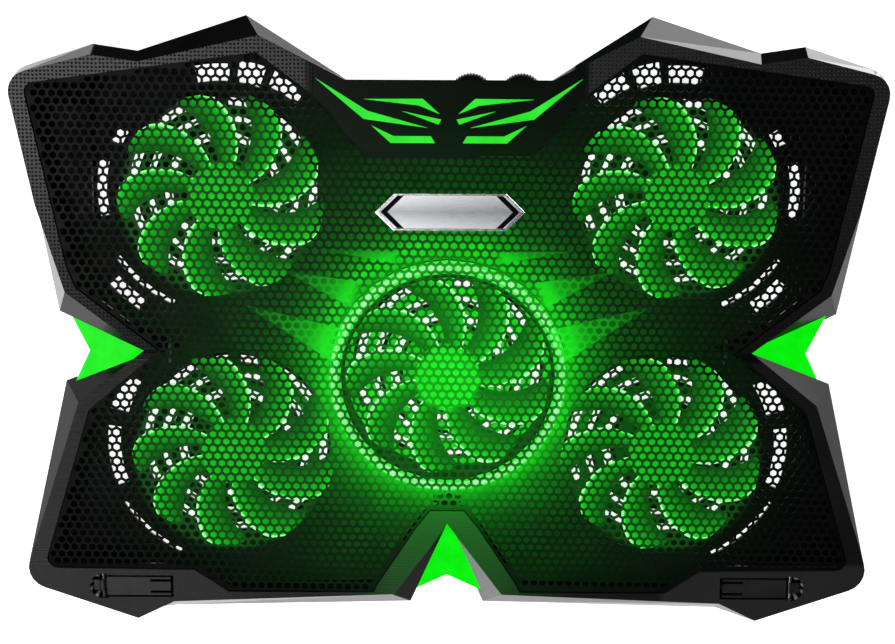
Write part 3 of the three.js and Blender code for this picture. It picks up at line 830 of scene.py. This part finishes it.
def sheet_mesh(name, verts, faces, low, high):
    """Gives flat faces a thickness, with a wall along every open edge."""
    count = len(verts)
    top = [tuple(face) for face in faces]
    bottom = [tuple(v + count for v in reversed(face)) for face in faces]
    sides = {(a, b) for face in faces for a, b in zip(face, face[1:] + face[:1])}
    walls = [(b, a, a + count, b + count) for a, b in sides if (b, a) not in sides]
    mesh = bpy.data.meshes.new(name)
    points = [(x, y, z) for z in (high, low) for x, y in verts]
    mesh.from_pydata(points, [], top + bottom + walls)
    mesh.validate()
    mesh.update()
    return mesh


# ---------------------------------------------------------------- rotors
BLADES = 9
BLADE_STEPS = 20
BLADE_ACROSS = 8
BLADE_START = math.radians(24.8)  # the first blade's leading edge at its root
BLADE_SWEEP = math.radians(29.4)
BLADE_BEND = 1.55
BLADE_WIDTH = (math.radians(31), math.radians(25))
HUB_RADIUS = 14.7 * MM
BLADE_TIP = 46.8 * MM
LEAD_Z, TRAIL_Z = 19.5 * MM, 12.4 * MM
BLADE_THICK = 1.3 * MM
TIP_ROUND = 0.86  # where along the blade its corners start to round off


def blade_point(angle, along, across, lower):
    """A point on a blade: along runs from root to tip, across from the leading to the trailing edge."""
    radius = HUB_RADIUS * 0.95 + (BLADE_TIP - HUB_RADIUS * 0.95) * along
    width = BLADE_WIDTH[0] + (BLADE_WIDTH[1] - BLADE_WIDTH[0]) * along
    corner = max(0.0, along - TIP_ROUND) / (1 - TIP_ROUND)
    squeeze = 0.22 * (1 - math.sqrt(max(0.0, 1 - corner ** 2)))
    place = squeeze + across * (1 - 2 * squeeze)
    turn = angle + BLADE_SWEEP * along ** BLADE_BEND + width * place
    height = LEAD_Z + (TRAIL_Z - LEAD_Z) * across ** 0.85 + 0.8 * MM * math.sin(math.pi * across)
    if lower:
        height -= BLADE_THICK * (0.4 + 0.6 * math.sin(math.pi * min(max(across, 0.06), 0.94)))
    return (radius * math.cos(turn), radius * math.sin(turn), height)


def blade_glow(along, across):
    """How brightly a point of a blade shines: a bright line at the leading edge, darker towards the other."""
    edge = min(1.0, 1.35 * math.exp(-((across / 0.16) ** 2)))
    body = 0.74 - 0.52 * across ** 0.8
    tip = 0.08 * max(0.0, along - 0.75) / 0.25
    return max(edge, body + tip)


def hub_mesh():
    """The hub: a cup that is open below, with a shallow dish in its top."""
    low, high, wall, dish = 9.6 * MM, 21 * MM, 1.6 * MM, 0.5 * MM
    ceiling = 19.2 * MM
    profile = round_profile([
        (0, ceiling), (HUB_RADIUS - wall, ceiling), (HUB_RADIUS - wall, low), (HUB_RADIUS, low),
        (HUB_RADIUS, high), (HUB_RADIUS * 0.55, high), (HUB_RADIUS * 0.5, high - dish), (0, high - dish),
    ], 0.9 * MM)
    return turned_mesh("hub", profile, (0, 0), 54)


def add_blade(work, layer, angle, boost):
    """Adds a blade: an upper and a lower skin, joined along its four sides."""
    grid = {}
    for lower in (0, 1):
        for i in range(BLADE_STEPS + 1):
            for k in range(BLADE_ACROSS + 1):
                along, across = i / BLADE_STEPS, (k / BLADE_ACROSS) ** 1.4
                grid[lower, i, k] = work.verts.new(blade_point(angle, along, across, lower))
                # The lower skin shines at 0.6 of the upper one: painted shade under each blade.
                grid[lower, i, k][layer] = blade_glow(along, across) * boost * (0.6 if lower else 1.0)

    def add_face(*corners):
        work.faces.new([grid[corner] for corner in corners])

    for i in range(BLADE_STEPS):
        for k in range(BLADE_ACROSS):
            add_face((0, i, k), (0, i + 1, k), (0, i + 1, k + 1), (0, i, k + 1))
            add_face((1, i, k + 1), (1, i + 1, k + 1), (1, i + 1, k), (1, i, k))
    for i in range(BLADE_STEPS):
        for k in (0, BLADE_ACROSS):
            add_face((0, i, k), (1, i, k), (1, i + 1, k), (0, i + 1, k))
    for k in range(BLADE_ACROSS):
        for i in (0, BLADE_STEPS):
            add_face((0, i, k), (0, i, k + 1), (1, i, k + 1), (1, i, k))


def rotor_mesh(name, centre, boost, hub_light):
    """A rotor that stores how brightly each of its points shines."""
    work = bmesh.new()
    layer = work.verts.layers.float.new("glow")
    take_in(work, hub_mesh())
    for vert in work.verts:
        # The hub's top shines at hub_light, its lower parts at 0.25: painted light and shade.
        vert[layer] = (hub_light if vert.co.z > 18 * MM else 0.25) * boost
    for blade in range(BLADES):
        add_blade(work, layer, BLADE_START + math.tau * blade / BLADES, boost)
    bmesh.ops.translate(work, verts=work.verts, vec=(centre.x, centre.y, 0))
    return mesh_from(name, work)


def add_rotors():
    for fan in FANS:
        node = "rotor_" + fan
        boost, hub_light = (1.1, 0.7) if fan == "centre" else (1.0, 0.6)
        mesh = rotor_mesh(node + "_blades", centre_of("motor_base_" + fan), boost, hub_light)
        piece = add_piece(node + "_blades", mesh, "rotor_plastic", node, smooth=True)
        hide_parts(node)


GUARD_RINGS = [(21.9, 1.1), (31.2, 0.8), (43.7, 0.9)]  # radius and half width, in mm


def band(inner, outer, low, high):
    """The closed profile of a flat ring."""
    return [(inner, low), (outer, low), (outer, high), (inner, high)]


def add_motor_details():
    """Coils round each motor's core, and thin rings across the openings of the guard under each fan."""
    coil = round_profile(band(12.0 * MM, 12.7 * MM, 8 * MM, 15 * MM), 0.3 * MM, 3)
    for fan in FANS:
        centre = centre_of("motor_base_" + fan)
        name = "coil_" + fan
        add_piece(name, turned_mesh(name, coil, centre, 48), "copper", slot="steel_pins", smooth=True)
        work = bmesh.new()
        for radius, half in GUARD_RINGS:
            ring = band((radius - half) * MM, (radius + half) * MM, 2.6 * MM, 4.0 * MM)
            take_in(work, turned_mesh("ring", ring, centre, 72))
        add_piece("guard_rings_" + fan, mesh_from("guard_rings_" + fan, work), "cover_plastic")


# ---------------------------------------------------------------- shells and trim
STRIPES = [  # right-hand stripes on the brow, in millimetres; each is mirrored to the left
    [(59.1, 114.6), (36.1, 100.0), (9.6, 92.5), (37.8, 96.4)],
    [(37.6, 105.3), (11.6, 105.5), (4.2, 98.7), (13.3, 102.5)],
    [(20.6, 99.9), (3.4, 96.2), (4.6, 94.0)],
    [(34.3, 93.4), (25.8, 85.6), (6.2, 85.6), (8.0, 88.7), (24.6, 88.7)],
]
STRIPE_SLOT = 0.6 * MM  # depth of the grooves that hold the stripes
STRIPE_SINK = 0.04 * MM  # how far the stripes lie below the top face
STRIPE_ROOM = 0.1 * MM


def stripe_outlines():
    """Each stripe's name and its outline, anticlockwise."""
    for i, stripe in enumerate(STRIPES):
        right = [Vector((x * MM, y * MM)) for x, y in stripe]
        area = sum(a.x * b.y - b.x * a.y for a, b in zip(right, right[1:] + right[:1]))
        if area < 0:
            right.reverse()
        left = [Vector((-point.x, point.y)) for point in reversed(right)]
        yield f"brow_stripe_right_{i + 1}", right
        yield f"brow_stripe_left_{i + 1}", left


def cut_away(piece, cutter_mesh):
    """Cuts a shape out of a piece."""
    cutter = bpy.data.objects.new("cutter", cutter_mesh)
    bpy.context.scene.collection.objects.link(cutter)
    cut = piece.modifiers.new("cut", "BOOLEAN")
    cut.object = cutter
    cut.operation = "DIFFERENCE"
    cut.use_self = True
    apply_modifiers(piece)
    bpy.data.objects.remove(cutter)


def add_shells():
    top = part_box("top_shell")[1].z
    shell = add_piece("frame_shell", cad_copy("top_shell", "frame_shell"), "shell_plastic")
    for name, outline in stripe_outlines():
        groove = inset_outline(outline, -STRIPE_ROOM)
        cut_away(shell, prism_mesh("groove", groove, top - STRIPE_SLOT, top + 1 * MM))
        # Each stripe glows green.
        stripe = prism_mesh(name, outline, top - STRIPE_SLOT + 0.02 * MM, top - STRIPE_SINK)
        add_piece(name, stripe, "stripe_glow", slot="green_lens")
    soften(shell, 0.3 * MM, 2, 12)
    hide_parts("top_shell")
    tub = add_piece("tub_shell", cad_copy("bottom_cover", "tub_shell"), "tub_plastic", slot="cover_plastic")
    soften(tub, 0.3 * MM, 2, 25)
    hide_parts("bottom_cover")


def plate_outline(shrink):
    """The nameplate's six corners, drawn in by a distance, anticlockwise from the right-hand point."""
    low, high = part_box("nameplate")
    middle, half = (low + high) / 2, (high - low) / 2
    point = half.y  # the pointed ends slope at about 45 degrees
    slope = shrink * math.sqrt(2)
    flat = half.x - point - shrink * (math.sqrt(2) - 1)
    corners = [(half.x - slope, 0), (flat, half.y - shrink), (-flat, half.y - shrink),
               (slope - half.x, 0), (-flat, shrink - half.y), (flat, shrink - half.y)]
    return [(middle.x + x, middle.y + y) for x, y in corners]


def add_nameplate():
    low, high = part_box("nameplate")
    face = high.z - 0.25 * MM
    plate = prism_mesh("nameplate_face", plate_outline(0.5 * MM), low.z, face)
    piece = add_piece("nameplate_face", plate, "plate_metal")
    soften(piece, 0.12 * MM)
    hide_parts("nameplate")
    rings = [(0, low.z), (0, high.z - 0.15 * MM), (0.25 * MM, high.z), (0.9 * MM, high.z), (1.1 * MM, face),
             (1.1 * MM, low.z)]
    loops = [[(*point, height) for point in plate_outline(shrink)] for shrink, height in rings]
    add_piece("nameplate_frame", looped_mesh("nameplate_frame", loops), "plate_bright", slot="plate_metal")
    middle, half = (low + high) / 2, (high - low) / 2
    reach, thick, arm = half.x - 2.6 * MM, 3.0 * MM, 7.4 * MM
    for side, sign in SIDES:
        corners = [(reach, 0), (reach - arm, arm), (reach - arm - thick, arm), (reach - thick, 0),
                   (reach - arm - thick, -arm), (reach - arm, -arm)]
        outline = [(middle.x + sign * x, middle.y + y) for x, y in corners]
        chevron = prism_mesh("chevron_" + side, outline, face - 0.1 * MM, face + 0.18 * MM)
        add_piece("nameplate_chevron_" + side, chevron, "plate_black", slot="plate_metal")


# ---------------------------------------------------------------- small parts
def add_ring_bead():
    """The bright bead that runs round the top of the centre fan's light ring."""
    radius, half, rise, steps = 52.2 * MM, 1.5 * MM, 1.0 * MM, 10
    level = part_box("centre_light_ring")[1].z + 0.02 * MM
    angles = [math.pi * step / steps for step in range(steps + 1)]
    profile = [(radius + half * math.cos(a), level + rise * math.sin(a)) for a in angles]
    bead = turned_mesh("centre_ring_bead", profile, centre_of("centre_light_ring"), 120)
    add_piece("centre_ring_bead", bead, "ring_glow", slot="green_lens", smooth=True)


RIBS = ((-58, 4.2), (-16, 4.9), (16, 4.9), (58, 4.2))  # direction in degrees, and where it starts in mm
RIB_END = 6.15 * MM
RIB_FLOOR = 20.02 * MM


def add_rib(work, centre, out, start):
    """A rib that runs outwards from a point and gets wider and higher on its way."""
    across = Vector((-out.y, out.x))
    posts = []
    for reach, half, top in ((start, 0.5 * MM, 24.6 * MM), (RIB_END, 0.85 * MM, 27.4 * MM)):
        for way in (-1, 1):
            spot = centre + out * reach + across * half * way
            posts.append([work.verts.new((*spot, z)) for z in (RIB_FLOOR, top)])
    loop = [posts[0], posts[2], posts[3], posts[1]]
    work.faces.new([post[1] for post in loop])
    work.faces.new([post[0] for post in reversed(loop)])
    for here, there in zip(loop, loop[1:] + loop[:1]):
        work.faces.new([here[0], there[0], there[1], here[1]])


def add_thumb_ribs():
    """Short radial ribs round the outer end of each stop's pocket, clear of the arm's swing, coloured light
    grey as a painted highlight.
    """
    for side, sign in SIDES:
        work = bmesh.new()
        for degrees, start in RIBS:
            a = math.radians(degrees)
            out = Vector((sign * math.cos(a), math.sin(a)))
            add_rib(work, centre_of("stop_pin_" + side).xy, out, start * MM)
        name = "thumb_ribs_" + side
        add_piece(name, mesh_from(name, work), "rib_highlight", slot="shell_plastic")


ARM_NEAR, ARM_FAR = 128 * MM, 158.6 * MM  # the ends of the stops' flat part, from the middle of the pad


def add_stop_arms():
    """The flip-up stops, with a step round the top and rounded edges."""
    step, deep, past = 0.5 * MM, 2.8 * MM, 1 * MM
    for side, sign in SIDES:
        node = "stop_" + side
        name = node + "_arm"
        arm = add_piece(name, cad_copy(node, name), "stop_plastic", node, slot="shell_plastic")
        low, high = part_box(node)
        inner, outer = sorted((sign * ARM_NEAR, sign * ARM_FAR))
        floor, roof = high.z - deep, high.z + past
        cut_away(arm, boxes_mesh("rebate", [
            ((inner - past, high.y - step, floor), (outer + past, high.y + past, roof)),
            ((inner - past, low.y - past, floor), (outer + past, low.y + step, roof)),
            ((inner - past, low.y - past, floor), (inner + step, high.y + past, roof)),
            ((outer - step, low.y - past, floor), (outer + past, high.y + past, roof)),
        ]))
        soften(arm, 0.15 * MM)
        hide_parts(node)


def add_wheels():
    """Thumb wheels with a knurled rim."""
    bore, notch, chamfer, count = 1.6 * MM, 0.4 * MM, 0.5 * MM, 44 * 4  # four points to each tooth
    for node in ("speed_wheel", "light_wheel"):
        low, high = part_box(node)
        middle, radius = (low + high) / 2, (high.x - low.x) / 2
        rim = [radius - (notch if i % 4 in (2, 3) else 0.0) for i in range(count)]
        edges = ((low.z, chamfer), (low.z + chamfer, 0), (high.z - chamfer, 0), (high.z, chamfer))
        loops = [[around(middle, r - inset, i / count, z) for i, r in enumerate(rim)] for z, inset in edges]
        loops += [[around(middle, bore, i / count, z) for i in range(count)] for z in (high.z, low.z)]
        wheel = add_piece(node + "_knurled", looped_mesh(node, loops), "knob_plastic", node)
        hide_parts(node)


def add_usb_contacts():
    """Four gold contacts in each USB socket."""
    pitch, half, thick = 2.3 * MM, 0.5 * MM, 0.15 * MM
    for port in ("outer", "inner"):
        low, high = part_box("usb_port_" + port)
        top = high.z - 2.6 * MM
        contacts = []
        for i in range(4):
            x = (low.x + high.x) / 2 + (i - 1.5) * pitch
            contacts.append(((x - half, low.y + 2.5 * MM, top - thick), (x + half, high.y - 1.6 * MM, top)))
        name = "usb_contacts_" + port
        piece = add_piece(name, boxes_mesh(name, contacts), "gold", slot="port_metal")
        soften(piece, 0.05 * MM, 1)


def add_screws():
    """Screws with a domed head and a cross recess."""
    head, shank, tip = 1.7 * MM, 1.25 * MM, 0.5 * MM
    long, half, deep = 1.7 * MM, 0.33 * MM, 1.0 * MM
    for i in range(1, 7):
        node = f"cover_screw_{i}"
        low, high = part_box(node)
        middle, radius = (low + high) / 2, (high.x - low.x) / 2
        profile = [(0, low.z), (radius * 0.55, low.z + 0.06 * MM), (radius * 0.9, low.z + 0.35 * MM),
                   (radius, low.z + 0.8 * MM), (radius, low.z + head), (shank, low.z + head),
                   (shank, high.z - 1 * MM), (tip, high.z), (0, high.z)]
        screw = add_piece(node + "_turned", turned_mesh(node, profile, middle, 40), "steel_pins")
        centre = Vector((middle.x, middle.y, low.z))
        arms = (Vector((long, half, deep)), Vector((half, long, deep)))
        cut_away(screw, boxes_mesh("cross", [(centre - arm, centre + arm) for arm in arms]))
        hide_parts(node)


def add_feet():
    """Rubber feet with a rounded edge and two shallow grooves."""
    for i in range(1, 5):
        node = f"foot_{i}"
        low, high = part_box(node)
        radius = (high.x - low.x) / 2
        groove = low.z + 0.35 * MM
        profile = [(0, low.z)]
        for start in (0.35, 0.65):
            end = start + 0.1
            profile += [(radius * start, low.z), (radius * start, groove), (radius * end, groove),
                        (radius * end, low.z)]
        profile += [(radius * 0.84, low.z), (radius * 0.87, low.z + 0.15 * MM), (radius, high.z), (0, high.z)]
        foot = add_piece(node + "_grooved", turned_mesh(node, profile, (low + high) / 2, 48), "rubber_feet")
        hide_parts(node)


CHIPS = [  # near left corner and size along X, Y and Z, in mm
    ((-4, 88), (6, 6, 1.4)), ((12, 86.5), (8, 4, 1.6)), ((-30, 87), (5, 4, 1.3)), ((24, 88), (4, 6, 1.3)),
    ((-40, 100), (4, 3, 2)),
]
RESISTORS = [((x, y), (1.6, 0.9, 0.6)) for x in range(-38, 40, 6) for y in (85.2, 95.5)]


def add_board_parts():
    """Chips, resistors and capacitors on the control board, under the brow."""
    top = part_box("control_board")[1].z
    rows = (("chips", CHIPS, "switch_plastic", 0.15 * MM), ("resistors", RESISTORS, "port_metal", 0.1 * MM))
    for kind, table, look, edge in rows:
        boxes = [((x * MM, y * MM, top), ((x + w) * MM, (y + d) * MM, top + h * MM))
                 for (x, y), (w, d, h) in table]
        name = "board_" + kind
        soften(add_piece(name, boxes_mesh(name, boxes), look, slot="circuit_board"), edge, 1)
    radius, tall = 2.4 * MM, top + 5 * MM
    profile = [(0, top), (radius, top), (radius, tall - 0.4 * MM), (radius - 0.3 * MM, tall), (0, tall)]
    for i, x in enumerate((-22, 4, 37)):
        name = f"board_capacitor_{i + 1}"
        add_piece(name, turned_mesh(name, profile, (x * MM, 92 * MM), 28), "steel_pins", slot="circuit_board")


def add_legs():
    """Fold-out rear legs with rounded edges, and their ribbed rubber ends."""
    inset, wide, thick = 1.6 * MM, 1.1 * MM, 0.3 * MM
    for side, _ in SIDES:
        node = "rear_leg_" + side
        name = node + "_rounded"
        leg = add_piece(name, cad_copy(node, name), "leg_plastic", node, slot="shell_plastic")
        soften(leg, 0.5 * MM, 3)
        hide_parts(node)
        low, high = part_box(node)
        bars = [((low.x + inset, y * MM, low.z), (high.x - inset, y * MM + wide, low.z + thick))
                for y in range(52, 88, 4)]
        name = "leg_grip_" + side
        soften(add_piece(name, boxes_mesh(name, bars), "rubber_feet", node), 0.1 * MM, 1)
        pad = add_piece("leg_tip_" + side, cad_copy("leg_pad_" + side, "leg_tip"), "rubber_feet", node)
        soften(pad, 0.6 * MM, 3)
        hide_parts("leg_pad_" + side)


def keep_cad():
    """Every CAD node that still shows gets its material."""
    special = {"centre_light_ring": "ring_lens", "centre_shroud": "shroud_plastic"}
    for name, piece in NODES.items():
        if not piece.hide_render:
            piece.data.materials.clear()
            piece.data.materials.append(FINISHES[special.get(name, SLOT_OF[name])])


add_camera()
add_studio()
add_floor()
FINISHES = make_finishes()
sheet = add_piece("mesh_sheet", perforated_sheet(), "mesh_metal")
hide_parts("mesh_panel")
add_shells()
add_nameplate()
add_rotors()
add_motor_details()
add_ring_bead()
add_stop_arms()
add_thumb_ribs()
add_wheels()
add_usb_contacts()
add_screws()
add_feet()
add_board_parts()
add_legs()
keep_cad()
